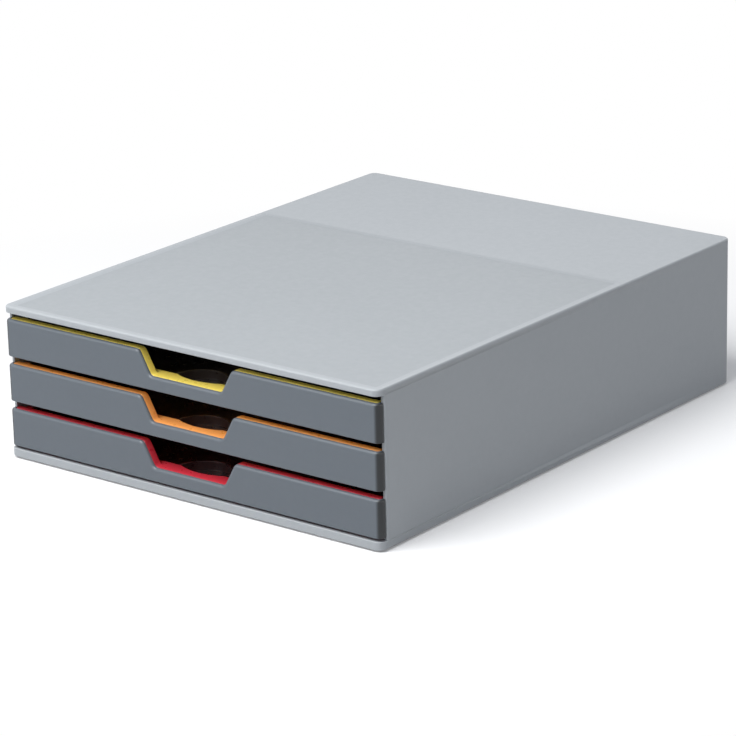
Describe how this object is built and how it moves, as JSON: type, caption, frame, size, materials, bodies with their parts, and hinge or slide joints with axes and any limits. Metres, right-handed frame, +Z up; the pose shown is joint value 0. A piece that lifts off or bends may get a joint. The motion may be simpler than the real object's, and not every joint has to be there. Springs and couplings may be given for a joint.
{
  "type": "desktop file drawer",
  "caption": "Flat desk drawer box for office papers: a closed light grey housing with wide shallow coloured trays that slide out behind dark grey fronts with a trapezoid finger grip.",
  "frame": {"origin": "centre of the footprint on the desk, under the feet", "axes": "+Z up, the drawer fronts face -Y, +X to the right as seen from the front"},
  "size_m": [0.28, 0.356, 0.095],
  "materials": {
    "housing_grey": "light grey moulded polystyrene, fine satin grain",
    "fascia_grey": "dark grey moulded polystyrene, satin",
    "tray_yellow": "yellow moulded polystyrene, half gloss",
    "tray_orange": "orange moulded polystyrene, half gloss",
    "tray_red": "red moulded polystyrene, half gloss",
    "foot_rubber": "black rubber"
  },
  "bodies": {
    "housing": {"top_cover": "housing_grey", "base_plate": "housing_grey", "left_side_panel": "housing_grey", "right_side_panel": "housing_grey", "back_panel": "housing_grey", "front_left_foot": "foot_rubber", "front_right_foot": "foot_rubber", "rear_left_foot": "foot_rubber", "rear_right_foot": "foot_rubber"},
    "upper_drawer": {"yellow_tray": "tray_yellow", "upper_fascia": "fascia_grey"},
    "middle_drawer": {"orange_tray": "tray_orange", "middle_fascia": "fascia_grey"},
    "lower_drawer": {"red_tray": "tray_red", "lower_fascia": "fascia_grey"}
  },
  "joints": [
    {"name": "upper_drawer_slide", "type": "slide", "parent": "housing", "child": "upper_drawer", "axis": [0, -1, 0], "range_m": [0, 0.25]},
    {"name": "middle_drawer_slide", "type": "slide", "parent": "housing", "child": "middle_drawer", "axis": [0, -1, 0], "range_m": [0, 0.25]},
    {"name": "lower_drawer_slide", "type": "slide", "parent": "housing", "child": "lower_drawer", "axis": [0, -1, 0], "range_m": [0, 0.25]}
  ]
}
